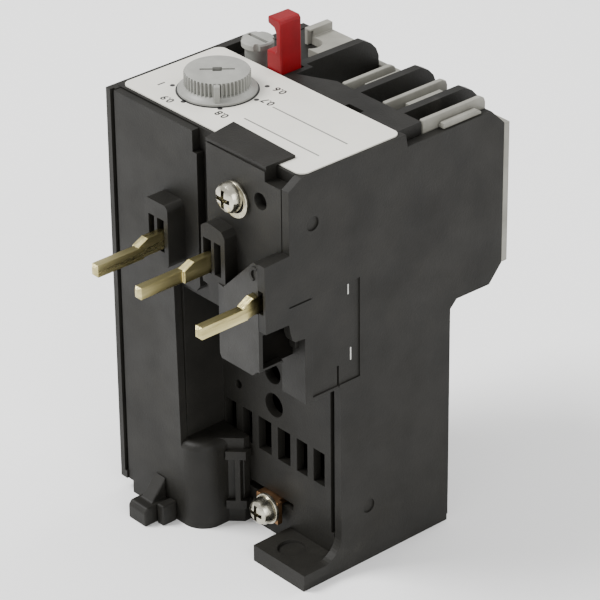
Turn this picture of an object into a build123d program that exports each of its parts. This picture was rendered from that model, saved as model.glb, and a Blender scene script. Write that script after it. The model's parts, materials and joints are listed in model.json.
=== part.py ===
from build123d import *
from math import cos, pi, sin
import os

os.makedirs("parts", exist_ok=True)

# Plug-in thermal overload relay, three poles. Millimetres, Z up, pins towards -Y.
# Positions are written from the left outer side (across), from the rim of the pin
# side (behind) and from the underside of the foot (height), then centred in plan.
CASE_WIDTH = 45.0
CENTRE_BEHIND = 14.6
WALL = 1.6
SEAM = 0.1

TOP_Z = 75.6
LEFT_DECK_Z = 73.4
PANEL_FRONT = 0.3
UPPER_WALL_FRONT = 1.8
LOWER_WALL_FRONT = 9.7
LOWER_BACK = 33.7
OVERHANG_Z = 42.0
BACK = 45.1
COVER_FRONT = -0.7
HOOD_FRONT = -3.2
BOSS_TOP = 16.3
BOSS_BACK = 9.6
FOOT_FRONT = 1.7
FOOT_TOP = 3.1
SCREW_AXIS = (32.35, 68.8)
PIN_TIP = -17.2

PIN_INNER = {"l1": (16.1, 54.3, 57.3), "l2": (27.5, 54.6, 57.7), "l3": (41.5, 54.0, 57.0)}
PIN_OUTER = {"l1": (16.4, 56.3), "l2": (27.1, 56.7), "l3": (41.6, 55.8)}
PIN_THICK = 1.5
BLADE_THICK = 1.45
BLADE_HEIGHT = 2.1
STRAP_X = {"l1": 16.85, "l2": 28.25, "l3": 38.0}
STRAP_HALF = 1.25
STRAP_Z = 42.0
STRIP_THICK = 0.8
STRIP_Y = (22.0, 27.0)
HEATER_Z = (18.0, 37.0)

SCREW_X = {"l1": 18.6, "l2": 31.2, "l3": 41.3}
SCREW_Y = 37.0
RIB_X = {"l1": (24.2, 25.1), "l2": (33.7, 34.6), "l3": (42.2, 43.1)}
RIB_END = {"l1": 39.0, "l2": 41.4, "l3": 41.6}
RIB_TOP = 75.5
GUARD_X = {"l1": (26.1, 27.2), "l2": (35.7, 36.8), "l3": (43.6, 44.5)}
GUARD_TOP = {"l1": 74.8, "l2": 74.8, "l3": 74.4}
BARRIERS = [(13.9, 15.5), (27.6, 29.2), (37.7, 39.3)]
TERMINAL_Z = 56.0

DIAL_X = 13.3
DIAL_Y = 12.2
DIAL_SHAFT_R = 2.5
POINTER_ANGLE = -41.2
SELECTOR_X = 6.5
SELECTOR_Y = 26.6
TRIP_PIVOT = (6.9, 24.0)
CONTACT_PIVOT = (9.9, 50.0)
ARM_PIVOT = (4.5, 9.0)
PIVOT_R = 1.0
RUNNING = 0.05


def across(x):
    return x - CASE_WIDTH / 2


def behind(y):
    return y - CENTRE_BEHIND


def block(x0, x1, y0, y1, z0, z1, mode=Mode.ADD):
    centre = (across((x0 + x1) / 2), behind((y0 + y1) / 2), (z0 + z1) / 2)
    with Locations(centre):
        Box(x1 - x0, y1 - y0, z1 - z0, mode=mode)


def front_shape(points, y0, y1, mode=Mode.ADD):
    with BuildSketch(Plane.XZ.offset(-behind(y1))) as outline:
        with BuildLine():
            Polyline([(across(x), z) for x, z in points], close=True)
        make_face()
    extrude(outline.sketch, amount=y1 - y0, mode=mode)


def side_shape(points, x0, x1, mode=Mode.ADD):
    with BuildSketch(Plane.YZ.offset(across(x0))) as outline:
        with BuildLine():
            Polyline([(behind(y), z) for y, z in points], close=True)
        make_face()
    extrude(outline.sketch, amount=x1 - x0, mode=mode)


def plan_shape(points, z0, z1, mode=Mode.ADD):
    with BuildSketch(Plane.XY.offset(z0)) as outline:
        with BuildLine():
            Polyline([(across(x), behind(y)) for x, y in points], close=True)
        make_face()
    extrude(outline.sketch, amount=z1 - z0, mode=mode)


def rod_y(x, z, r, y0, y1, mode=Mode.ADD):
    with BuildSketch(Plane.XZ.offset(-behind(y1))) as outline:
        with Locations((across(x), z)):
            Circle(r)
    extrude(outline.sketch, amount=y1 - y0, mode=mode)


def rod_z(x, y, r, z0, z1, mode=Mode.ADD):
    with BuildSketch(Plane.XY.offset(z0)) as outline:
        with Locations((across(x), behind(y))):
            Circle(r)
    extrude(outline.sketch, amount=z1 - z0, mode=mode)


def rod_x(y, z, r, x0, x1, mode=Mode.ADD):
    with BuildSketch(Plane.YZ.offset(across(x0))) as outline:
        with Locations((behind(y), z)):
            Circle(r)
    extrude(outline.sketch, amount=x1 - x0, mode=mode)


def save(part, name):
    part.label = name
    export_step(part, f"parts/{name}.step")


# Base moulding: left wall, floor, lower front wall, upper front wall and back walls.
LEFT_WALL = [(0.0, 2.3), (0.0, 75.5), (30.5, 75.5), (32.6, 73.5), (42.2, 73.5),
             (BACK, 70.5), (BACK, OVERHANG_Z), (LOWER_BACK, OVERHANG_Z), (LOWER_BACK, 2.3)]
VENTS = [(16.4, 19.2), (20.9, 23.2), (24.8, 28.0), (29.6, 32.7), (34.3, 36.9), (38.4, 41.1)]

with BuildPart() as base_case:
    side_shape(LEFT_WALL, 0, WALL)
    block(1.0, 4.4, LOWER_WALL_FRONT, LOWER_BACK, 2.3, 3.8)
    block(2.8, 43.3, LOWER_WALL_FRONT, LOWER_BACK, 0, 2.3)
    block(1.0, 43.3, LOWER_BACK - WALL, LOWER_BACK, 2.3, OVERHANG_Z + WALL)
    block(1.0, 43.3, LOWER_BACK - WALL, BACK, OVERHANG_Z, OVERHANG_Z + WALL)
    block(1.0, 43.3, BACK - WALL, BACK, OVERHANG_Z, 44.9)
    block(14.4, 43.3, LOWER_WALL_FRONT, LOWER_WALL_FRONT + WALL, 0, 46.5)
    block(14.4, 16.0, UPPER_WALL_FRONT, LOWER_WALL_FRONT + 0.5, BOSS_TOP + SEAM, 46.5)
    block(14.4, 43.3, UPPER_WALL_FRONT, LOWER_WALL_FRONT + WALL, 45.0, 46.5)
    block(1.0, 43.3, UPPER_WALL_FRONT, UPPER_WALL_FRONT + 1.5, 46.0, TOP_Z)
    block(1.1, WALL, -0.1, 0.8, 3.8, 75.6, Mode.SUBTRACT)
    for x0, x1 in VENTS:
        block(x0, x1, 9.0, 12.0, 15.0, 21.2, Mode.SUBTRACT)
    rod_y(28.8, 25.0, 2.15, 9.0, 12.0, Mode.SUBTRACT)
    rod_y(28.5, 31.0, 2.0, 9.0, 12.0, Mode.SUBTRACT)
    rod_y(19.9, 25.1, 0.8, 9.0, 12.0, Mode.SUBTRACT)
    block(21.5, 33.3, 9.0, 12.0, 6.6, 7.9, Mode.SUBTRACT)
    block(42.6, 43.4, 9.0, 10.9, 7.0, 35.0, Mode.SUBTRACT)
    rod_y(SCREW_AXIS[0], SCREW_AXIS[1], 1.5, 1.0, 4.0, Mode.SUBTRACT)
    for pole in PIN_INNER:
        px, pz0, pz1 = PIN_INNER[pole]
        block(px - 0.1, px + PIN_THICK + 0.1, 1.0, 4.0, pz0 - 0.1, pz1 + 0.1, Mode.SUBTRACT)
save(base_case.part, "base_case")


# Flat side cover closing the right side, with the lug beside the third hood, a flange
# turned in below the lug, and the foot.
CURVE_R = 4.0
CURVE_STEPS = 10
FOOT_CURVE = []
for step in range(CURVE_STEPS + 1):
    turn = step * pi / 2 / CURVE_STEPS
    FOOT_CURVE.append((9.8 - CURVE_R + CURVE_R * cos(turn), FOOT_TOP + CURVE_R - CURVE_R * sin(turn)))
SIDE_OUTLINE = [(1.9, TOP_Z), (COVER_FRONT, 74.0), (COVER_FRONT, 63.1), (-5.75, 62.9), (-5.65, 51.1),
                (-0.9, 51.0), (-0.65, 49.4), (-0.2, 48.0), (0.3, 47.5), (2.35, 47.3), (2.35, 35.45),
                (9.8, 35.45), *FOOT_CURVE,
                (FOOT_FRONT, FOOT_TOP), (FOOT_FRONT, 0.0), (LOWER_BACK, 0.0),
                (LOWER_BACK, 40.6), (35.1, 42.0), (42.4, 41.9), (BACK, 45.0), (BACK, 70.5),
                (42.2, 73.4), (24.0, 73.4), (23.6, TOP_Z)]

with BuildPart() as side_cover:
    side_shape(SIDE_OUTLINE, 43.4, CASE_WIDTH)
    block(39.4, 43.5, 2.35, 3.95, 35.45, 44.9)
    block(32.4, 43.5, FOOT_FRONT, BOSS_BACK, 0, FOOT_TOP)
    rod_z(37.4, 5.7, 2.4, FOOT_TOP - 0.5, FOOT_TOP + 0.1, Mode.SUBTRACT)
    side_shape([(0, -0.1), (34.0, -0.1), (34.0, 1.3), (0, 1.3)], 44.8, 45.1, Mode.SUBTRACT)
    block(43.3, 44.5, -6.0, -2.8, 54.3, 58.3, Mode.SUBTRACT)
    side_shape([(3.9, 36.0), (13.9, 36.0), (13.9, 54.0), (3.9, 54.0)], 44.75, 45.1, Mode.SUBTRACT)
    block(44.8, 45.1, -0.8, 4.0, 53.85, 54.15, Mode.SUBTRACT)
    block(44.4, 45.1, 9.2, 9.6, 35.0, 39.5, Mode.SUBTRACT)
    for y, z in [(4.1, 67.0), (15.8, 10.6)]:
        rod_x(y, z, 1.25, 44.7, 45.1, Mode.SUBTRACT)
save(side_cover.part, "side_cover")


# Panel on the pin side with the first pin hood and the rounded boss at its foot.
PANEL_OUTLINE = [(1.7, 2.3), (16.0, 2.3), (16.0, 16.4), (15.4, 45.2), (17.45, 46.8), (21.2, 46.8),
                 (22.1, 47.9), (22.1, 71.7), (21.1, 71.7), (21.1, 75.4), (1.7, 75.4)]

with BuildPart() as pin_side_panel:
    with BuildSketch(Plane.XY):
        with BuildLine():
            Line((across(2.8), behind(PANEL_FRONT)), (across(16.6), behind(PANEL_FRONT)))
            CenterArc((across(16.6), behind(PANEL_FRONT + 4.0)), 4.0, -90, 90)
            Polyline((across(20.6), behind(PANEL_FRONT + 4.0)), (across(20.6), behind(6.5)),
                     (across(22.5), behind(8.4)), (across(22.5), behind(BOSS_BACK)),
                     (across(2.8), behind(BOSS_BACK)), (across(2.8), behind(PANEL_FRONT)))
        make_face()
    extrude(amount=BOSS_TOP)
    boss_rim = pin_side_panel.edges().filter_by_position(Axis.Z, BOSS_TOP - 0.01, BOSS_TOP + 0.01)
    fillet(boss_rim.filter_by_position(Axis.Y, behind(PANEL_FRONT - 0.1), behind(6.2)), radius=1.4)
    block(4.4, 14.2, 2.0, 8.4, -0.1, 14.6, Mode.SUBTRACT)
    for z0, z1 in [(12.6, 14.2), (3.0, 4.6)]:
        plan_shape([(21.0, 5.6), (23.4, 8.0), (23.0, BOSS_BACK), (20.4, 7.4)], z0, z1)
    plan_shape([(22.1, 6.7), (22.7, 7.3), (22.3, 8.4), (21.7, 7.5)], 4.0, 13.0)
    front_shape(PANEL_OUTLINE, PANEL_FRONT, UPPER_WALL_FRONT - SEAM)
    with BuildSketch(Plane.XZ.offset(-behind(PANEL_FRONT + 0.2))):
        with Locations((across(15.8), 56.5)):
            RectangleRounded(5.75, 11.25, 1.0)
    extrude(amount=PANEL_FRONT + 0.2 - HOOD_FRONT)
    block(13.9, 15.3, -4, -0.2, 53.6, 59.35, Mode.SUBTRACT)
    block(16.0, 17.7, -4, -0.2, 53.6, 59.35, Mode.SUBTRACT)
    block(16.0, 17.7, -1, 2.5, 54.2, 57.4, Mode.SUBTRACT)
save(pin_side_panel.part, "pin_side_panel")


# Front cover block with the other two hoods and the lip over the label.
HOOD_2_OUTLINE = [(26.9, 53.6), (26.9, 62.3), (27.6, 62.9), (28.6, 63.3), (30.0, 63.2), (31.8, 62.9),
                  (32.6, 61.9), (32.6, 50.1), (28.9, 50.1), (28.4, 52.3), (27.2, 52.5)]
HOOD_3_OUTLINE = [(30.9, 53.6), (32.4, 53.6), (41.9, 62.5), (43.2, 62.5), (43.2, 43.5), (42.4, 43.2),
                  (41.1, 42.0), (31.5, 40.3), (30.9, 41.0)]
LIP_PLAN = [(25.6, COVER_FRONT), (39.5, -0.4), (39.6, 5.5), (24.45, 6.0)]

with BuildPart() as front_cover:
    block(25.6, 43.2, COVER_FRONT, UPPER_WALL_FRONT - SEAM, 50.0, 75.5)
    front_shape(HOOD_2_OUTLINE, HOOD_FRONT, COVER_FRONT + 0.2)
    front_shape(HOOD_3_OUTLINE, -5.7, COVER_FRONT)
    plan_shape([(30.8, HOOD_FRONT), (43.3, -5.6), (43.3, -6.2), (30.8, -6.2)], 39.0, 63.6,
               Mode.SUBTRACT)
    plan_shape([(33.0, -2.9), (43.4, -4.85), (43.4, 1.0), (33.0, 1.0)], 43.9, 49.9, Mode.SUBTRACT)
    block(27.4, 29.3, -4, -1.2, 54.5, 60.45, Mode.SUBTRACT)
    block(30.0, 31.6, -4, -1.2, 54.7, 60.45, Mode.SUBTRACT)
    block(27.4, 29.1, -2, 2.5, 54.5, 57.8, Mode.SUBTRACT)
    block(41.4, 43.3, -6, 2.5, 53.9, 57.1, Mode.SUBTRACT)
    rod_y(SCREW_AXIS[0], SCREW_AXIS[1], 1.6, -1.0, 2.0, Mode.SUBTRACT)
    rod_y(38.4, 70.0, 1.45, -1.0, 0.9, Mode.SUBTRACT)
    block(25.6, 39.5, COVER_FRONT + 0.3, UPPER_WALL_FRONT - SEAM, 75.4, 75.9)
    plan_shape(LIP_PLAN, 75.8, 76.3)
    block(39.5, 43.3, -1.0, 2.0, 73.8, 75.7, Mode.SUBTRACT)
save(front_cover.part, "front_cover")


# Top plate under the label, and the thin label itself.
with BuildPart() as top_fascia:
    block(1.7, 43.3, UPPER_WALL_FRONT + 1.6, 23.2, 73.9, TOP_Z)
    rod_z(DIAL_X, DIAL_Y, DIAL_SHAFT_R + RUNNING, 73.0, 76.0, Mode.SUBTRACT)
save(top_fascia.part, "top_fascia")

with BuildPart() as rating_label:
    with BuildSketch(Plane.XY.offset(TOP_Z)):
        with Locations((across(22.8), behind(12.72))):
            RectangleRounded(43.4, 20.75, 1.5)
        with Locations((across(DIAL_X), behind(DIAL_Y))):
            Circle(3.2, mode=Mode.SUBTRACT)
    extrude(amount=0.2)
save(rating_label.part, "rating_label")


# Terminal block: floor, barrier walls, decks and the shaft for the reset bar.
with BuildPart() as terminal_block:
    block(1.7, 43.3, 28.2, BACK, 45.0, 47.0)
    block(16.1, 43.3, 23.3, 28.2, 45.0, 47.0)
    block(16.1, 43.3, 23.3, 24.3, 45.0, TOP_Z)
    block(16.1, 17.1, 23.3, 29.2, 45.0, TOP_Z)
    block(13.9, 17.1, 28.2, 29.2, 45.0, TOP_Z)
    for x0, x1 in BARRIERS:
        block(x0, x1, 24.0 if x0 > 20 else 28.2, BACK, 45.0, TOP_Z)
    block(27.6, 43.3, 24.0, 28.5, 73.4, TOP_Z)
    plan_shape([(17.0, 24.0), (17.0, 25.4), (23.6, 28.5), (27.8, 28.5), (27.8, 24.0)], 73.4, TOP_Z)
    block(1.7, 12.2, 23.3, 28.2, 71.8, LEFT_DECK_Z)
    block(1.7, 13.9, 28.0, BACK, 71.8, LEFT_DECK_Z)
    block(1.7, 13.9, BACK - WALL, BACK, 45.0, LEFT_DECK_Z)
    side_shape([(41.8, TOP_Z), (43.4, 74.7), (44.5, 73.5), (BACK, 72.0), (46.0, 72.0), (46.0, 76.0),
                (41.8, 76.0)], 13.8, 43.4, Mode.SUBTRACT)
    side_shape([(42.2, LEFT_DECK_Z), (BACK, 70.5), (46.0, 70.5), (46.0, LEFT_DECK_Z + 0.1)], 1.0, 13.9,
               Mode.SUBTRACT)
    block(31.0, 34.5, 23.2, 24.4, 73.0, 76.0, Mode.SUBTRACT)
    for pole in STRAP_X:
        sx = STRAP_X[pole] + 2.35
        block(sx - 0.1, sx + 2.1, 29.7, 31.3, 44.0, 48.0, Mode.SUBTRACT)
    rod_z(SELECTOR_X, SELECTOR_Y, 1.7 + RUNNING, 71.0, 74.0, Mode.SUBTRACT)
save(terminal_block.part, "terminal_block")


# Light shroud closing the back of the terminals, with a dividing rib per pole.
with BuildPart() as terminal_shroud:
    block(2.0, CASE_WIDTH, BACK, 46.4, 45.0, 70.3)
    for pole, (x0, x1) in RIB_X.items():
        end = RIB_END[pole]
        block(x0, x1, 29.5, BACK + 0.1, 64.0, 69.0)
        side_shape([(29.0, 68.5), (29.0, RIB_TOP), (end, RIB_TOP), (end + 0.8, 75.1), (end + 1.1, 74.3),
                    (end + 1.1, 70.3), (BACK, 70.3), (BACK, 68.5)], x0, x1)
    for x0, x1 in [(16.2, 26.8), (29.8, 37.1), (39.9, 43.9)]:
        block(x0, x1, BACK - 0.5, 47.0, 50.0, 62.5, Mode.SUBTRACT)
save(terminal_shroud.part, "terminal_shroud")

for pole in GUARD_X:
    guard_left, guard_right = GUARD_X[pole]
    foot_z = 66.0 if pole != "l3" else 73.45
    with BuildPart() as wire_guard:
        block(RIB_X[pole][1], guard_right, 32.2, 40.4, foot_z, foot_z + 0.4)
        side_shape([(32.2, foot_z), (32.2, GUARD_TOP[pole]), (39.6, GUARD_TOP[pole]), (40.4, foot_z + 0.3),
                    (40.4, foot_z)], guard_left, guard_right)
    save(wire_guard.part, f"wire_guard_{pole}")


# Light clip plate on the left deck, and the latch under the pin side.
with BuildPart() as deck_clip:
    block(7.0, 13.6, 34.0, 42.0, LEFT_DECK_Z, 75.0)
    block(6.2, 7.6, 37.0, 42.0, LEFT_DECK_Z, 76.4)
    rod_z(9.0, 35.6, 2.1, 73.0, 76.0, Mode.SUBTRACT)
    block(6.9, 9.0, 33.5, 37.7, 73.0, 76.0, Mode.SUBTRACT)
save(deck_clip.part, "deck_clip")

with BuildPart() as latch_hook:
    side_shape([(-5.2, 0.0), (-5.2, 2.6), (-4.6, 3.4), (-3.0, 3.4), (0.2, 7.1), (0.2, 0.0)], 8.3, 12.7)
    block(8.2, 9.0, -3.0, 0.3, 3.4, 7.2, Mode.SUBTRACT)
    block(11.8, 12.8, -3.0, 0.3, 3.4, 7.2, Mode.SUBTRACT)
save(latch_hook.part, "latch_hook")

with BuildPart() as latch_guide:
    block(12.9, 14.5, -2.8, 0.2, 0.0, 3.8)
save(latch_guide.part, "latch_guide")


# Current dial with its shaft, and the eccentric cam fixed on the shaft.
with BuildPart() as current_dial:
    rod_z(DIAL_X, DIAL_Y, 6.45, 75.9, 76.8)
    rod_z(DIAL_X, DIAL_Y, 5.4, 76.7, 79.4)
    rod_z(DIAL_X, DIAL_Y, DIAL_SHAFT_R, 61.0, 76.0)
    with Locations(Location((across(DIAL_X), behind(DIAL_Y), 79.4), (0, 0, POINTER_ANGLE))):
        Box(0.5, 5.6, 1.6, mode=Mode.SUBTRACT)
        Box(1.4, 1.4, 3.0, mode=Mode.SUBTRACT)
    with Locations(Location((across(DIAL_X), behind(DIAL_Y), 77.5), (0, 0, POINTER_ANGLE))):
        with Locations((5.75, 0, 0)):
            Box(1.2, 1.1, 1.9)
save(current_dial.part, "current_dial")

with BuildPart() as dial_cam:
    rod_z(DIAL_X, DIAL_Y - 0.8, 3.8, 62.0, 65.0)
    rod_z(DIAL_X, DIAL_Y, DIAL_SHAFT_R, 61.5, 65.5, Mode.SUBTRACT)
save(dial_cam.part, "dial_cam")

with BuildPart() as adjusting_arm:
    rod_z(ARM_PIVOT[0], ARM_PIVOT[1], 2.2, 62.3, 64.7)
    plan_shape([(4.5, 7.4), (7.0, 8.6), (9.1, 11.3), (9.1, 12.3), (8.2, 12.6), (6.0, 11.4), (3.6, 10.6)],
               62.3, 64.7)
    rod_z(ARM_PIVOT[0], ARM_PIVOT[1], PIVOT_R + RUNNING, 62.0, 65.0, Mode.SUBTRACT)
save(adjusting_arm.part, "adjusting_arm")

with BuildPart() as adjusting_arm_pin:
    rod_z(ARM_PIVOT[0], ARM_PIVOT[1], PIVOT_R, 57.0, 66.5)
save(adjusting_arm_pin.part, "adjusting_arm_pin")


# Quarter-turn selector for manual or automatic reset.
with BuildPart() as mode_selector:
    rod_z(SELECTOR_X, SELECTOR_Y, 1.7, 69.5, 73.6)
    rod_z(SELECTOR_X, SELECTOR_Y, 2.2, 73.5, 77.1)
    rod_z(SELECTOR_X, SELECTOR_Y, 2.8, 77.0, 77.9)
    block(SELECTOR_X - 2.2, SELECTOR_X + 2.2, SELECTOR_Y - 0.4, SELECTOR_Y + 0.4, 77.0, 78.0,
          Mode.SUBTRACT)
save(mode_selector.part, "mode_selector")


# Hooked reset bar and the spring below it.
with BuildPart() as reset_bar:
    front_shape([(12.4, 56.0), (15.9, 56.0), (15.9, 84.4), (15.5, 85.0), (12.7, 85.0), (12.7, 83.8),
                 (14.2, 83.3), (14.7, 82.3), (14.7, 79.4), (14.4, 79.0), (12.4, 79.0)], 23.4, 27.8)
save(reset_bar.part, "reset_bar")

with BuildPart() as spring_seat:
    block(12.3, 15.9, 23.4, 28.0, 46.5, 48.0)
    block(14.5, 15.5, 9.0, 28.0, 46.5, 48.0)
save(spring_seat.part, "spring_seat")

SPRING_TURNS = 5
SPRING_BOTTOM = 48.0
SPRING_TOP = 56.0
with BuildPart() as reset_spring:
    pitch = (SPRING_TOP - SPRING_BOTTOM - 0.8) / SPRING_TURNS
    for turn in range(SPRING_TURNS + 1):
        low = SPRING_BOTTOM + turn * pitch
        with BuildSketch(Plane.XY.offset(low)):
            with Locations((across(14.15), behind(25.6))):
                Circle(1.6)
                Circle(1.0, mode=Mode.SUBTRACT)
        extrude(amount=0.8)
    for turn in range(SPRING_TURNS):
        side = 1.3 if turn % 2 else -1.3
        low = SPRING_BOTTOM + turn * pitch
        block(14.15 + side - 0.25, 14.15 + side + 0.25, 25.35, 25.85, low + 0.4, low + pitch + 0.4)
save(reset_spring.part, "reset_spring")


# Plug-in pins with the straps that carry the current to the heating elements.
def plug_pin(pole):
    px, z0, z1 = PIN_INNER[pole]
    blade_x, blade_top = PIN_OUTER[pole]
    sx = STRAP_X[pole]
    with BuildPart() as pin:
        side_shape([(-8.4, blade_top), (-6.4, z1), (8.0, z1), (8.0, z0), (-6.4, z0),
                    (-8.4, blade_top - BLADE_HEIGHT)], px, px + PIN_THICK)
        block(blade_x, blade_x + BLADE_THICK, PIN_TIP, -7.5, blade_top - BLADE_HEIGHT, blade_top)
        chamfer(pin.faces().sort_by(Axis.Y)[0].edges(), length=0.45)
        block(min(px, sx - STRAP_HALF), max(px + PIN_THICK, sx + STRAP_HALF), 6.8, 8.0, 47.5, z1)
        block(sx - STRAP_HALF, sx + STRAP_HALF, 6.8, 8.0, STRAP_Z + 5.5, 49.0)
        block(sx - STRAP_HALF, sx + STRAP_HALF, 6.8, 13.5, 47.5, 48.7)
        block(sx - STRAP_HALF, sx + STRAP_HALF, 12.3, 13.5, STRAP_Z, 48.7)
        block(sx - STRAP_HALF, sx + STRAP_HALF, 12.3, 27.0, STRAP_Z, STRAP_Z + 1.4)
    save(pin.part, f"plug_pin_{pole}")


# Bimetal strip hanging from the strap, with its heater winding.
def heating_element(pole):
    left = STRAP_X[pole] + STRAP_HALF
    right = left + STRIP_THICK
    with BuildPart() as strip:
        block(left, right, STRIP_Y[0], STRIP_Y[1], 12.0, STRAP_Z + 1.4)
    save(strip.part, f"bimetal_strip_{pole}")
    with BuildPart() as heater:
        block(left - 0.7, right + 0.7, STRIP_Y[0] - 0.7, STRIP_Y[1] + 0.7, HEATER_Z[0], HEATER_Z[1])
        for turn in range(8):
            low = HEATER_Z[0] + 1.4 + turn * 2.2
            block(left - 1.0, right + 1.0, STRIP_Y[0] - 1.0, STRIP_Y[0] - 0.4, low, low + 0.8,
                  Mode.SUBTRACT)
            block(right + 0.4, right + 1.0, STRIP_Y[0] - 1.0, STRIP_Y[1] + 1.0, low, low + 0.8,
                  Mode.SUBTRACT)
        block(left, right, STRIP_Y[0], STRIP_Y[1], 17.0, 38.0, Mode.SUBTRACT)
    save(heater.part, f"heater_winding_{pole}")


# Load terminal, wire clamp plate and terminal screw.
def load_terminal(pole):
    riser = STRAP_X[pole] + 2.35
    tx = SCREW_X[pole]
    with BuildPart() as terminal:
        block(riser, riser + 2.0, 24.0, 31.2, 38.0, 39.2)
        block(riser, riser + 2.0, 29.8, 31.2, 38.0, TERMINAL_Z + 1.4)
        block(tx - 1.85, tx + 1.85, 29.8, 43.5, TERMINAL_Z, TERMINAL_Z + 1.4)
        rod_z(tx, SCREW_Y, 1.25, 55.0, 58.0, Mode.SUBTRACT)
    save(terminal.part, f"load_terminal_{pole}")
    with BuildPart() as clamp:
        block(tx - 1.8, tx + 1.8, 33.5, 42.0, 59.0, 60.0)
        rod_z(tx, SCREW_Y, 1.25, 58.0, 61.0, Mode.SUBTRACT)
    save(clamp.part, f"clamp_plate_{pole}")
    with BuildPart() as screw:
        rod_z(tx, SCREW_Y, 1.2, 51.0, 60.1)
        rod_z(tx, SCREW_Y, 1.8, 60.0, 62.0)
        block(tx - 1.3, tx + 1.3, SCREW_Y - 0.3, SCREW_Y + 0.3, 61.2, 62.1, Mode.SUBTRACT)
        block(tx - 0.3, tx + 0.3, SCREW_Y - 1.3, SCREW_Y + 1.3, 61.2, 62.1, Mode.SUBTRACT)
    save(screw.part, f"terminal_screw_{pole}")


for pole in STRAP_X:
    plug_pin(pole)
    heating_element(pole)
    load_terminal(pole)


# Trip slider pushed by the three strips, running in two guides on the floor.
with BuildPart() as trip_slider:
    block(8.2, 42.2, 22.5, 26.5, 6.0, 9.5)
    for pole in STRAP_X:
        finger = STRAP_X[pole] + STRAP_HALF - 0.7
        block(finger - 1.6, finger, 22.5, 26.5, 9.4, 15.5)
save(trip_slider.part, "trip_slider")

with BuildPart() as slider_guide:
    block(16.0, 40.0, 20.6, 28.4, 2.3, 5.7)
    block(16.0, 40.0, 20.6, 22.2, 5.6, 9.0)
    block(16.0, 40.0, 26.8, 28.4, 5.6, 9.0)
save(slider_guide.part, "slider_guide")


# Trip lever, contact lever and the plate that carries their pivot pins.
def lever(name, pivot, low, high, half):
    px, pz = pivot
    with BuildPart() as arm:
        rod_y(px, pz, 2.2, 22.4, 26.4)
        block(px - half, px + half, 22.4, 26.4, low, high)
        rod_y(px, pz, PIVOT_R + RUNNING, 22.0, 27.0, Mode.SUBTRACT)
        if name == "contact_lever":
            rod_x(24.4, 60.5, 1.0, px - half - 0.1, px + half + 0.1, Mode.SUBTRACT)
    save(arm.part, name)
    with BuildPart() as pin:
        rod_y(px, pz, PIVOT_R, 21.8, 28.1)
    save(pin.part, f"{name}_pin")


lever("trip_lever", TRIP_PIVOT, 8.0, 38.0, 0.7)
lever("contact_lever", CONTACT_PIVOT, 36.5, 63.0, 0.7)

with BuildPart() as moving_contact:
    rod_x(24.4, 60.5, 1.0, 8.7, 11.1)
save(moving_contact.part, "moving_contact")

with BuildPart() as pivot_plate:
    block(1.6, 12.0, 26.9, 28.1, 2.3, 66.0)
    rod_y(TRIP_PIVOT[0], TRIP_PIVOT[1], PIVOT_R, 26.5, 28.5, Mode.SUBTRACT)
    rod_y(CONTACT_PIVOT[0], CONTACT_PIVOT[1], PIVOT_R, 26.5, 28.5, Mode.SUBTRACT)
    block(1.5, 4.5, 26.5, 28.5, 2.2, 3.9, Mode.SUBTRACT)
save(pivot_plate.part, "pivot_plate")

with BuildPart() as insulating_sheet:
    block(16.2, 43.0, 17.4, 17.7, 2.3, 38.0)
    block(25.7, 30.7, 17.0, 18.0, 6.5, 8.0, Mode.SUBTRACT)
save(insulating_sheet.part, "insulating_sheet")

with BuildPart() as contact_block:
    block(1.6, 13.0, 7.0, 19.5, 48.0, 57.0)
save(contact_block.part, "contact_block")

with BuildPart() as contact_normally_closed:
    block(11.4, 12.0, 19.5, 21.8, 50.0, 62.5)
    block(11.4, 12.0, 21.7, 26.0, 54.0, 62.5)
save(contact_normally_closed.part, "contact_normally_closed")

with BuildPart() as contact_normally_open:
    block(5.6, 6.2, 19.5, 26.0, 50.0, 62.5)
save(contact_normally_open.part, "contact_normally_open")


# Copper tab through the front wall slot, with its screw and washer.
with BuildPart() as copper_tab:
    block(25.9, 31.3, 8.0, 9.0, 3.6, 7.8)
    block(25.9, 30.5, 8.0, 19.0, 6.7, 7.8)
    rod_y(29.0, 6.0, 1.5, 7.5, 10.0, Mode.SUBTRACT)
save(copper_tab.part, "copper_tab")

with BuildPart() as tab_screw:
    rod_y(29.0, 6.0, 1.5, 7.3, 9.0)
    rod_y(29.0, 6.0, 2.35, 5.0, 7.4)
    block(29.0 - 1.5, 29.0 + 1.5, 4.9, 6.0, 5.65, 6.35, Mode.SUBTRACT)
    block(29.0 - 0.35, 29.0 + 0.35, 4.9, 6.0, 4.5, 7.5, Mode.SUBTRACT)
save(tab_screw.part, "tab_screw")

with BuildPart() as tab_washer:
    rod_y(29.0, 6.0, 2.7, 7.4, 8.0)
    rod_y(29.0, 6.0, 1.5, 7.0, 8.5, Mode.SUBTRACT)
save(tab_washer.part, "tab_washer")


# Screw and washer holding the front cover.
sx, sz = SCREW_AXIS
with BuildPart() as cover_screw:
    rod_y(sx, sz, 1.5, -1.4, 3.3)
    rod_y(sx, sz, 2.5, -3.3, -1.3)
    block(sx - 1.6, sx + 1.6, -3.4, -2.3, sz - 0.4, sz + 0.4, Mode.SUBTRACT)
    block(sx - 0.4, sx + 0.4, -3.4, -2.3, sz - 1.6, sz + 1.6, Mode.SUBTRACT)
save(cover_screw.part, "cover_screw")

with BuildPart() as cover_washer:
    rod_y(sx + 0.4, sz - 0.5, 3.1, -1.3, COVER_FRONT)
    rod_y(sx + 0.4, sz - 0.5, 2.2, -1.5, 0.0, Mode.SUBTRACT)
save(cover_washer.part, "cover_washer")
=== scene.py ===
import json
import math

import bmesh
import bpy
from mathutils import Matrix, Vector


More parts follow.
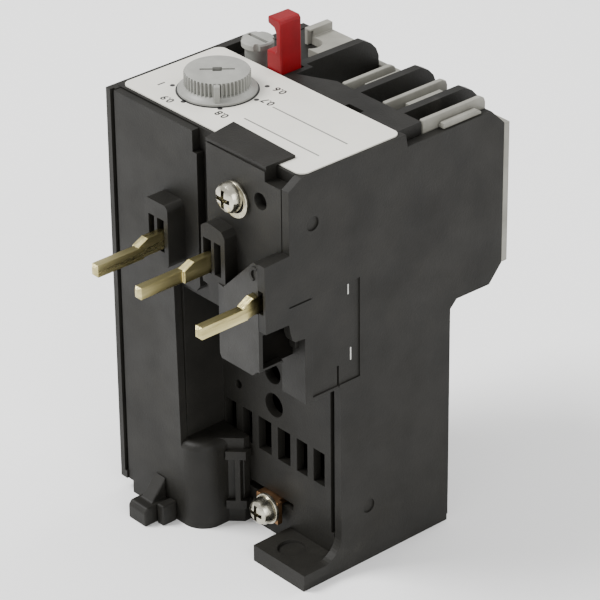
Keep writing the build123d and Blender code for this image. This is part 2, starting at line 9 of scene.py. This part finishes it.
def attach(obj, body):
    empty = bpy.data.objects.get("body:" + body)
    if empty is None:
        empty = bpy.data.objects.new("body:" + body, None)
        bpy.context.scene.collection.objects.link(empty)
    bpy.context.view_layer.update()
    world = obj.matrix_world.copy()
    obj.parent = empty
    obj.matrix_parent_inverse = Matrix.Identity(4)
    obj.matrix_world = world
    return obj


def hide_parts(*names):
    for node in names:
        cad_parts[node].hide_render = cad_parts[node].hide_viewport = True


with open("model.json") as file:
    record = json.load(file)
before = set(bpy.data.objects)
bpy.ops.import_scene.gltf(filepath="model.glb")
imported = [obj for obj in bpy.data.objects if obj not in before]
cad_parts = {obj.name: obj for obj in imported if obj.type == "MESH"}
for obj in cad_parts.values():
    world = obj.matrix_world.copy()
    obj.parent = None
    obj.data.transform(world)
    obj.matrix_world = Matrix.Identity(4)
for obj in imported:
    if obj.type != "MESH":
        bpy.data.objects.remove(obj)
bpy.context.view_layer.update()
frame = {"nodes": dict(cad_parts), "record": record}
nodes = frame["nodes"]

MM = 0.001
CENTRE_ACROSS = 22.5
CENTRE_BEHIND = 14.6
DIAL = (13.3, 12.2, 0.0)
POINTER_ANGLE = -41.2
SELECTOR = (6.5, 26.6, 0.0)
INK_Z = (75.8, 75.83)
SOFT_ANGLE = math.radians(35)
SMOOTH_ANGLE = math.radians(32)


def at(x, y, z):
    """Left side, rim plane and foot underside in mm -> the row frame in metres."""
    return Vector(((x - CENTRE_ACROSS) * MM, (y - CENTRE_BEHIND) * MM, z * MM))


# ---------------------------------------------------------------- materials
def new_material(name):
    material = bpy.data.materials.new(name)
    material.use_nodes = True
    tree = material.node_tree
    shader = tree.nodes["Principled BSDF"]
    return material, tree, shader


def noise(tree, coords, scale, detail=4.0, rough=0.55):
    node = tree.nodes.new("ShaderNodeTexNoise")
    node.inputs["Scale"].default_value = scale
    node.inputs["Detail"].default_value = detail
    node.inputs["Roughness"].default_value = rough
    tree.links.new(coords, node.inputs["Vector"])
    return node.outputs["Fac"]


def ramp(tree, value, stops):
    node = tree.nodes.new("ShaderNodeValToRGB")
    while len(node.color_ramp.elements) < len(stops):
        node.color_ramp.elements.new(0.5)
    for element, (place, colour) in zip(node.color_ramp.elements, stops):
        element.position = place
        element.color = (*colour, 1.0)
    tree.links.new(value, node.inputs["Fac"])
    return node.outputs["Color"]


def stretched(tree, scale):
    coords = tree.nodes.new("ShaderNodeTexCoord")
    mapping = tree.nodes.new("ShaderNodeMapping")
    mapping.inputs["Scale"].default_value = scale
    tree.links.new(coords.outputs["Object"], mapping.inputs["Vector"])
    return mapping.outputs["Vector"]


def surface(name, dark, light, scale=260.0, rough=(0.4, 0.6), bump=0.06, fine=2600.0, metal=0.0,
            grain=(1.0, 1.0, 1.0), specular=0.5, wear=None, wear_at=(0.66, 0.78)):
    """Two-tone procedural finish with fine relief, varied gloss and optional scuffed patches."""
    material, tree, shader = new_material(name)
    coords = stretched(tree, grain)
    tone = noise(tree, coords, scale, 5.0)
    colour = ramp(tree, tone, [(0.3, dark), (0.7, light)])
    if wear:
        mask = ramp(tree, noise(tree, coords, scale * 0.45, 8.0, 0.7),
                    [(wear_at[0], (0, 0, 0)), (wear_at[1], (1, 1, 1))])
        mix = tree.nodes.new("ShaderNodeMix")
        mix.data_type = "RGBA"
        tree.links.new(mask, mix.inputs[0])
        tree.links.new(colour, mix.inputs[6])
        mix.inputs[7].default_value = (*wear, 1.0)
        colour = mix.outputs[2]
    tree.links.new(colour, shader.inputs["Base Color"])
    gloss = ramp(tree, noise(tree, coords, scale * 0.7, 6.0),
                 [(0.3, (rough[0],) * 3), (0.7, (rough[1],) * 3)])
    tree.links.new(gloss, shader.inputs["Roughness"])
    relief = tree.nodes.new("ShaderNodeBump")
    relief.inputs["Strength"].default_value = bump
    relief.inputs["Distance"].default_value = 0.0002
    tree.links.new(noise(tree, coords, fine, 3.0), relief.inputs["Height"])
    tree.links.new(relief.outputs["Normal"], shader.inputs["Normal"])
    shader.inputs["Metallic"].default_value = metal
    shader.inputs["Specular IOR Level"].default_value = specular
    return material


MATERIALS = {
    "case_black": surface("case_moulding", (0.0064, 0.0060, 0.0047), (0.0118, 0.0110, 0.0090), 150,
                          (0.46, 0.62), 0.20, 3400, specular=0.22, wear=(0.025, 0.0235, 0.0195)),
    "block_black": surface("block_moulding", (0.0054, 0.0050, 0.0040), (0.0098, 0.0092, 0.0075), 190,
                           (0.44, 0.58), 0.20, 3400, specular=0.22, wear=(0.022, 0.0205, 0.017)),
    "shroud_grey": surface("shroud_moulding", (0.165, 0.160, 0.137), (0.235, 0.23, 0.20), 200,
                           (0.42, 0.55), 0.08, specular=0.4),
    "label_cream": surface("label_film", (0.60, 0.585, 0.525), (0.68, 0.665, 0.60), 70,
                           (0.38, 0.5), 0.03, 900, wear=(0.52, 0.50, 0.44)),
    "control_grey": surface("knob_moulding", (0.20, 0.20, 0.183), (0.27, 0.27, 0.248), 240,
                            (0.42, 0.54), 0.08),
    "reset_red": surface("reset_moulding", (0.135, 0.0012, 0.0035), (0.20, 0.0022, 0.006), 240,
                         (0.36, 0.50), 0.08, specular=0.22),
    "brass": surface("blade_brass", (0.24, 0.20, 0.075), (0.60, 0.53, 0.27), 420, (0.20, 0.40), 0.30, 1500,
                     metal=1.0, grain=(1.0, 0.10, 1.0), wear=(0.10, 0.075, 0.03), wear_at=(0.55, 0.66)),
    "tinned_brass": surface("tinned_strip", (0.45, 0.44, 0.41), (0.60, 0.59, 0.56), 260, (0.28, 0.44), 0.1,
                            metal=1.0),
    "nickel": surface("nickel_plate", (0.36, 0.34, 0.27), (0.58, 0.555, 0.46), 520, (0.16, 0.32), 0.12,
                      metal=1.0, wear=(0.16, 0.13, 0.085)),
    "copper": surface("tarnished_copper", (0.16, 0.085, 0.04), (0.32, 0.18, 0.09), 420, (0.3, 0.5), 0.12,
                      metal=1.0, wear=(0.07, 0.04, 0.02)),
    "bimetal_steel": surface("rolled_strip", (0.40, 0.39, 0.37), (0.52, 0.51, 0.49), 300, (0.3, 0.45), 0.1,
                             metal=1.0, grain=(1.0, 1.0, 0.1)),
    "heater_sleeve": surface("woven_sleeve", (0.30, 0.285, 0.24), (0.42, 0.40, 0.34), 800, (0.7, 0.85), 0.3,
                             3000),
    "steel": surface("spring_steel", (0.45, 0.45, 0.45), (0.58, 0.58, 0.58), 300, (0.25, 0.4), 0.08,
                     metal=1.0),
    "inner_white": surface("inner_moulding", (0.10, 0.096, 0.085), (0.15, 0.145, 0.13), 220,
                           (0.5, 0.65), 0.05),
}
GREY_INK = surface("grey_ink", (0.13, 0.13, 0.12), (0.20, 0.20, 0.19), 300, (0.4, 0.5), 0.03)
BLACK_INK = surface("black_ink", (0.012, 0.012, 0.012), (0.022, 0.022, 0.022), 300, (0.4, 0.5), 0.03)
WHITE_PAINT = surface("white_paint", (0.42, 0.42, 0.40), (0.60, 0.60, 0.57), 500, (0.5, 0.6), 0.05)
# Painted shade: near-black, almost glossless finish for plates and discs laid where only shadow is seen
# (slots, vents, hood flank).
PAINTED_SHADE_BLACK = surface("recess_shadow", (0.0015, 0.0013, 0.001), (0.003, 0.0026, 0.002), 300,
                      (0.8, 0.95), 0.03, specular=0.04)


def paint(obj, material):
    obj.data.materials.clear()
    obj.data.materials.append(material)


# ---------------------------------------------------------------- CAD nodes with soft edges
SLOTS = {item["node"]: item["material_slot"] for item in frame["record"]["subparts"]}
EDGE = {"base_case": 0.22, "side_cover": 0.22, "pin_side_panel": 0.2, "front_cover": 0.2, "top_fascia": 0.1,
        "terminal_block": 0.22, "terminal_shroud": 0.2, "deck_clip": 0.2, "latch_hook": 0.25,
        "latch_guide": 0.25, "reset_bar": 0.3, "rating_label": 0.0, "contact_block": 0.2}
SMALL_EDGE = 0.1
CAD_WELD = 2e-6
FLAT_ANGLE = math.radians(0.5)


def round_edges(obj, width):
    """Two-segment bevel, width in mm, on every edge sharper than 35 degrees."""
    bevel = obj.modifiers.new("bevel", "BEVEL")
    bevel.width = width * MM
    bevel.segments = 2
    bevel.limit_method = "ANGLE"
    bevel.angle_limit = SOFT_ANGLE


def soften(obj, width):
    """Merge the flat faces of a CAD mesh, then round its edges; a width of 0 leaves it alone."""
    if width <= 0:
        return
    weld = obj.modifiers.new("weld", "WELD")
    weld.merge_threshold = CAD_WELD
    flat = obj.modifiers.new("flat", "DECIMATE")
    flat.decimate_type = "DISSOLVE"
    flat.angle_limit = FLAT_ANGLE
    round_edges(obj, width)
    normals = obj.modifiers.new("normals", "WEIGHTED_NORMAL")
    normals.keep_sharp = True


for node_name, obj in nodes.items():
    # The insulating sheet gets the near-black painted shade in place of its own moulding, to darken the
    # vents in front of it.
    paint(obj, PAINTED_SHADE_BLACK if node_name == "insulating_sheet" else MATERIALS[SLOTS[node_name]])
    soften(obj, EDGE.get(node_name, SMALL_EDGE))


# ---------------------------------------------------------------- new pieces
WELD_WITHIN = 1e-7


def mesh_piece(name, points, faces, material, body="case", slot=None, edge=0.0, smooth=False):
    mesh = bpy.data.meshes.new(name)
    mesh.from_pydata([tuple(p) for p in points], [], faces)
    work = bmesh.new()
    work.from_mesh(mesh)
    bmesh.ops.remove_doubles(work, verts=work.verts, dist=WELD_WITHIN)
    bmesh.ops.recalc_face_normals(work, faces=work.faces)
    work.to_mesh(mesh)
    work.free()
    obj = bpy.data.objects.new(name, mesh)
    bpy.context.scene.collection.objects.link(obj)
    mesh.materials.append(material)
    if smooth:
        for face in mesh.polygons:
            face.use_smooth = True
        mesh.set_sharp_from_angle(angle=SMOOTH_ANGLE)
    if edge:
        round_edges(obj, edge)
    if body:
        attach(obj, body)
    return obj


def prism(name, outline, axis, low, high, material, **facts):
    """Outline in mm: (y, z) for axis x, (x, z) for axis y, (x, y) for axis z."""
    def place(pair, level):
        a, b = pair
        return {"x": at(level, a, b), "y": at(a, level, b), "z": at(a, b, level)}[axis]
    count = len(outline)
    points = [place(p, low) for p in outline] + [place(p, high) for p in outline]
    faces = [list(range(count)), list(range(2 * count - 1, count - 1, -1))]
    faces += [[i, (i + 1) % count, count + (i + 1) % count, count + i] for i in range(count)]
    return mesh_piece(name, points, faces, material, **facts)


def brick(name, x, y, z, material, **facts):
    return prism(name, [(x[0], y[0]), (x[1], y[0]), (x[1], y[1]), (x[0], y[1])], "z", z[0], z[1], material,
                 **facts)


def turned(name, centre, axis, profile, material, segments=64, ribs=0, rib_depth=0.0, ribbed=(), **facts):
    """Rings of (radius, level) in mm about an axis through centre, with ribs on the levels named."""
    points, faces = [], []
    for index, (radius, level) in enumerate(profile):
        for step in range(segments):
            angle = 2 * math.pi * step / segments
            r = radius
            if ribs and index in ribbed and step % (segments // ribs) in (0, 1):
                r = radius - rib_depth
            a, b = r * math.cos(angle), r * math.sin(angle)
            offset = {"z": (a, b, level), "y": (a, level, b), "x": (level, a, b)}[axis]
            points.append(at(centre[0] + offset[0], centre[1] + offset[1], centre[2] + offset[2]))
    rings = len(profile)
    for ring in range(rings - 1):
        for step in range(segments):
            after = (step + 1) % segments
            faces.append([ring * segments + step, ring * segments + after,
                          (ring + 1) * segments + after, (ring + 1) * segments + step])
    faces.append(list(range(segments)))
    faces.append(list(range((rings - 1) * segments, rings * segments)))
    return mesh_piece(name, points, faces, material, **facts)


def carve(obj, *cutters):
    for cutter in cutters:
        cut = obj.modifiers.new("cut", "BOOLEAN")
        cut.object = cutter
        cut.operation = "DIFFERENCE"
        cut.solver = "EXACT"
    bpy.context.view_layer.update()
    carved = bpy.data.meshes.new_from_object(obj.evaluated_get(bpy.context.evaluated_depsgraph_get()))
    obj.modifiers.clear()
    obj.data = carved
    for cutter in cutters:
        bpy.data.objects.remove(cutter)


# Current dial: flange, ribbed skirt, flat top with a slot and a square driver recess.
GREY = MATERIALS["control_grey"]


def turned_brick(name, centre, angle, along, across, levels, material, **facts):
    """Box with its sides measured along and across a direction in plan."""
    turn = math.radians(angle)
    corners = [(along[0], across[0]), (along[1], across[0]), (along[1], across[1]), (along[0], across[1])]
    outline = [(centre[0] + a * math.cos(turn) - b * math.sin(turn),
                centre[1] + a * math.sin(turn) + b * math.cos(turn)) for a, b in corners]
    return prism(name, outline, "z", levels[0], levels[1], material, **facts)


dial = turned("dial_knob", DIAL, "z",
              [(2.5, 61.0), (2.5, 75.9), (6.45, 75.9), (6.45, 76.2), (6.15, 76.35), (5.75, 76.55),
               (5.55, 76.85), (5.4, 77.0), (5.4, 79.1), (5.25, 79.3), (4.9, 79.4), (0.3, 79.4)],
              GREY, segments=192, ribs=48, rib_depth=0.5, ribbed=(7, 8), body=None, smooth=True)
DRIVER_SLOT = (-0.24, 0.24), (-2.8, 2.8)
DRIVER_SQUARE = (-0.75, 0.75), (-0.75, 0.75)
slot_cut = turned_brick("cut_slot", DIAL, POINTER_ANGLE, *DRIVER_SLOT, (78.6, 80.0), GREY, body=None)
square_cut = turned_brick("cut_square", DIAL, POINTER_ANGLE, *DRIVER_SQUARE, (77.6, 80.0), GREY,
                          body=None)
carve(dial, slot_cut, square_cut)
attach(dial, "dial")
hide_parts("current_dial")
turned_brick("dial_pointer", DIAL, POINTER_ANGLE, (4.9, 6.2), (-0.5, 0.5), (76.3, 79.2), GREY, body="dial",
             slot="control_grey", edge=0.15)
# Painted shade: near-black bricks sunk in the driver slot and square recess to darken them.
turned_brick("dial_slot_painted_shade", DIAL, POINTER_ANGLE, *DRIVER_SLOT, (78.5, 78.9), PAINTED_SHADE_BLACK,
             body="dial", slot="control_grey")
turned_brick("dial_square_painted_shade", DIAL, POINTER_ANGLE, *DRIVER_SQUARE, (77.5, 78.7), PAINTED_SHADE_BLACK,
             body="dial", slot="control_grey")

# Mode selector: notched cap with a driver slot on a short stem.
selector = turned("selector_knob", SELECTOR, "z",
                  [(1.7, 69.5), (1.7, 73.5), (2.2, 73.5), (2.2, 76.6), (2.75, 76.75), (2.8, 77.6),
                   (2.6, 77.9), (0.2, 77.9)], GREY, body=None, smooth=True)
NOTCH_AT = 3.0
NOTCH_RADIUS = 0.62
cutters = [brick("cut_driver", (4.2, 8.8), (26.25, 26.95), (77.0, 78.5), GREY, body=None)]
for turn in (45, 135, 225, 315):
    angle = math.radians(turn)
    notch = (SELECTOR[0] + NOTCH_AT * math.cos(angle), SELECTOR[1] + NOTCH_AT * math.sin(angle), 0.0)
    cutters.append(turned(f"cut_notch_{turn}", notch, "z", [(NOTCH_RADIUS, 76.0), (NOTCH_RADIUS, 78.5)],
                          GREY, segments=24, body=None))
carve(selector, *cutters)
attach(selector, "selector")
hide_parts("mode_selector")
brick("selector_stop", (6.9, 8.3), (23.7, 24.3), (73.3, 74.5), GREY, slot="shroud_grey", edge=0.2)


def pan_screw(name, x, z, front, head_back, tip, radius, shank, node):
    """Pan-head cross-recess screw along Y, head towards -Y."""
    steel = MATERIALS["nickel"]
    depth = head_back - front
    screw = turned(name, (x, 0.0, z), "y",
                   [(0.1, front), (radius * 0.55, front + 0.08), (radius * 0.86, front + depth * 0.24),
                    (radius, front + depth * 0.55), (radius, head_back), (shank, head_back), (shank, tip)],
                   steel, segments=48, body=None, smooth=True)
    arm, half = radius * 0.62, radius * 0.15
    flat = brick("cut_flat", (x - arm, x + arm), (front - 1.0, front + depth * 0.62), (z - half, z + half),
                 steel, body=None)
    upright = brick("cut_upright", (x - half, x + half), (front - 1.0, front + depth * 0.62),
                    (z - arm, z + arm), steel, body=None)
    carve(screw, flat, upright)
    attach(screw, "case")
    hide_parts(node)
    # Painted shade: a near-black disc at the bottom of the cross recess.
    turned(name + "_recess_painted_shade", (x, 0.0, z), "y", [(radius * 0.3, front + depth * 0.56),
                                                (radius * 0.3, front + depth * 0.7)],
           PAINTED_SHADE_BLACK, segments=24, slot="nickel")


pan_screw("front_cover_screw", 32.35, 68.8, -3.3, -1.3, 3.3, 2.5, 1.5, "cover_screw")
pan_screw("earth_tab_screw", 29.0, 6.0, 5.0, 7.35, 9.0, 2.35, 1.5, "tab_screw")

# Printed label: dots, figures and two rules, plus a black ring round the dial's base that is painted
# shadow, partly the dark edge of the label's hole.
DOT_RADIUS = 0.42
RULE_HALF = 0.13
RING_OUTER = 6.75
RING_INNER = 6.3
DOTS = [(7.3, 7.84), (12.99, 5.32), (18.84, 8.0), (20.33, 14.29), (17.79, 18.75)]
for number, (x, y) in enumerate(DOTS):
    turned(f"scale_dot_{number}", (x, y, 0.0), "z", [(DOT_RADIUS, INK_Z[0]), (DOT_RADIUS, INK_Z[1])],
           BLACK_INK, segments=20, slot="label_cream")
for number, y in enumerate((14.5, 8.6)):
    brick(f"label_rule_{number}", (24.0, 41.5), (y - RULE_HALF, y + RULE_HALF), INK_Z, GREY_INK,
          slot="label_cream")
# Painted shadow: a thin black ring on the label at the dial's flange, partly the dark edge of the label's
# hole.
ring = turned("dial_base_shade_ring", DIAL, "z", [(RING_OUTER, INK_Z[0]), (RING_OUTER, INK_Z[1])], BLACK_INK,
              segments=96, body=None)
carve(ring, turned("cut_ring", DIAL, "z", [(RING_INNER, 75.0), (RING_INNER, 77.0)], BLACK_INK,
                   segments=96, body=None))
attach(ring, "case")

FIGURE_SIZE = 2.0
FIGURE_HALF_THICK = 0.015
FIGURE_BOLD = 0.035
FIGURE_Z = 75.815


def figure(name, words, x, y):
    """Text lying on the label, read from the back, letter height in mm."""
    curve = bpy.data.curves.new(name, "FONT")
    curve.body = words
    curve.size = FIGURE_SIZE * MM
    curve.align_x = "CENTER"
    curve.align_y = "CENTER"
    curve.extrude = FIGURE_HALF_THICK * MM
    curve.offset = FIGURE_BOLD * MM
    curve.materials.append(BLACK_INK)
    obj = bpy.data.objects.new(name, curve)
    bpy.context.scene.collection.objects.link(obj)
    obj.location = at(x, y, FIGURE_Z)
    obj.rotation_euler = (0, 0, math.pi)
    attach(obj, "case")


figure("scale_figure_1", "1", 5.6, 7.0)
figure("scale_figure_2", "0.9", 10.6, 4.1)
figure("scale_figure_3", "0.8", 20.6, 6.9)
figure("scale_figure_4", "0.7", 22.2, 15.1)
figure("scale_figure_5", "0.6", 20.4, 19.2)

# Raised corner mark on the sloping face of the third hood.
mark_arc = [(42.45 + r * math.cos(math.radians(t)), 60.6 + r * math.sin(math.radians(t)))
            for r, turns in ((1.35, range(70, 251, 20)), (0.85, range(250, 69, -20))) for t in turns]
prism("hood_corner_mark", mark_arc, "y", -5.6, -5.0, MATERIALS["case_black"], slot="case_black")

# Painted shade: a near-black plate inside the open flank of the third hood, where the flank lies in shadow.
prism("hood_flank_painted_shade", [(-4.6, 43.3), (9.6, 43.3), (9.6, 44.9), (1.7, 44.9), (1.7, 49.8), (-4.6, 49.8)],
      "x", 41.4, 42.0, PAINTED_SHADE_BLACK, slot="case_black")

# Small marks on the side cover: two painted dashes in the sunk panel.
brick("side_dash_top", (44.74, 44.78), (11.5, 11.72), (51.7, 53.5), WHITE_PAINT, slot="case_black")
brick("side_dash_low", (44.74, 44.78), (12.0, 12.22), (39.6, 41.9), WHITE_PAINT, slot="case_black")

# ---------------------------------------------------------------- floor, light and camera
bpy.ops.mesh.primitive_plane_add(size=6.0, location=(0, 0, 0))
floor = bpy.context.object
floor.name = "floor"
paint(floor, surface("floor_paper", (0.93, 0.93, 0.925), (0.95, 0.95, 0.945), 6, (0.8, 0.9), 0.01))

WORLD_STRENGTH = 0.95
world = bpy.data.worlds.new("studio")
bpy.context.scene.world = world
world.use_nodes = True
world.node_tree.nodes["Background"].inputs["Color"].default_value = (1.0, 1.0, 1.0, 1.0)
world.node_tree.nodes["Background"].inputs["Strength"].default_value = WORLD_STRENGTH


MIDDLE = (0.0, 0.0, 0.045)


def area_light(name, place, size, power):
    """Rectangular lamp pointed at the middle of the part; place and size in metres, power in watts."""
    data = bpy.data.lights.new(name, "AREA")
    data.shape = "RECTANGLE"
    data.size = size[0]
    data.size_y = size[1]
    data.energy = power
    lamp = bpy.data.objects.new(name, data)
    bpy.context.scene.collection.objects.link(lamp)
    lamp.location = place
    lamp.rotation_euler = (Vector(MIDDLE) - Vector(place)).to_track_quat("-Z", "Y").to_euler()


area_light("key", (-0.35, -0.40, 0.70), (0.35, 0.35), 11.0)
area_light("fill", (0.75, -0.25, 0.35), (0.5, 0.6), 3.5)
area_light("back", (0.1, 0.7, 0.6), (0.6, 0.4), 4.0)

# Long lens with the azimuth, elevation and roll solved from the photo.
AZIMUTH = math.radians(48.78)
ELEVATION = math.radians(29.47)
ROLL = math.radians(-0.61)
SENSOR_WIDTH = 36.0
FOCAL_LENGTH = 207.4
CLIP_START = 0.01
CAMERA_MM = (394.5, -304.8, 317.2)
lens = bpy.data.cameras.new("camera")
lens.sensor_width = SENSOR_WIDTH
lens.lens = FOCAL_LENGTH
lens.clip_start = CLIP_START
camera = bpy.data.objects.new("camera", lens)
bpy.context.scene.collection.objects.link(camera)
camera.location = at(*CAMERA_MM)
look = Vector((-math.sin(AZIMUTH) * math.cos(ELEVATION), math.cos(AZIMUTH) * math.cos(ELEVATION),
               -math.sin(ELEVATION)))
facing = look.to_track_quat("-Z", "Y").to_matrix().to_4x4()
camera.matrix_world = Matrix.Translation(camera.location) @ facing @ Matrix.Rotation(ROLL, 4, "Z")
bpy.context.scene.camera = camera

bpy.context.view_layer.update()
